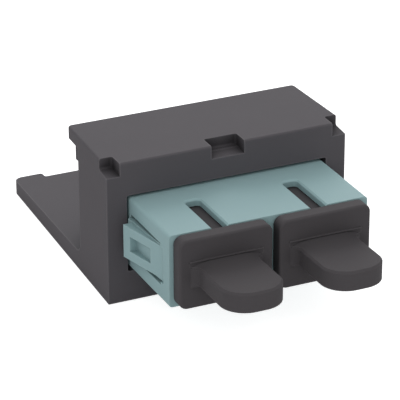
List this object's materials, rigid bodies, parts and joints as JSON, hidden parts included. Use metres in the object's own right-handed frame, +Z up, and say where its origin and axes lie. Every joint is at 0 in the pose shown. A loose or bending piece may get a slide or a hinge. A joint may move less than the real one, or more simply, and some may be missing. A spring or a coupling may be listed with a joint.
{
  "type": "sc duplex fibre adapter module",
  "caption": "Snap-in faceplate module with a long base plate, carrying a duplex SC fibre coupler with sprung side tongues and pull-off dust caps on its front ports.",
  "frame": {"origin": "on the base, midway between the ports, under the plane where the ferrules meet", "axes": "+X across the ports, +Y to the rear of the panel along the ferrules, +Z up from the base plate"},
  "size_m": [0.0314, 0.0576, 0.0181],
  "materials": {
    "frame_plastic": "fine satin moulded texture",
    "aqua_plastic": "satin moulded",
    "insert_plastic": "satin moulded",
    "sleeve_ceramic": "polished ceramic",
    "cap_plastic": "soft satin moulded"
  },
  "bodies": {
    "module": {"module_frame": "frame_plastic", "adapter_front_shell": "aqua_plastic", "adapter_rear_shell": "aqua_plastic", "front_latch_insert_left": "insert_plastic", "front_latch_insert_right": "insert_plastic", "rear_latch_insert_left": "insert_plastic", "rear_latch_insert_right": "insert_plastic", "split_sleeve_left": "sleeve_ceramic", "split_sleeve_right": "sleeve_ceramic"},
    "left_cap": {"dust_cap_left": "cap_plastic"},
    "right_cap": {"dust_cap_right": "cap_plastic"}
  },
  "joints": [
    {"name": "left_cap_pull", "type": "slide", "parent": "module", "child": "left_cap", "axis": [0, -1, 0], "range_m": [0, 0.012]},
    {"name": "right_cap_pull", "type": "slide", "parent": "module", "child": "right_cap", "axis": [0, -1, 0], "range_m": [0, 0.012]}
  ]
}
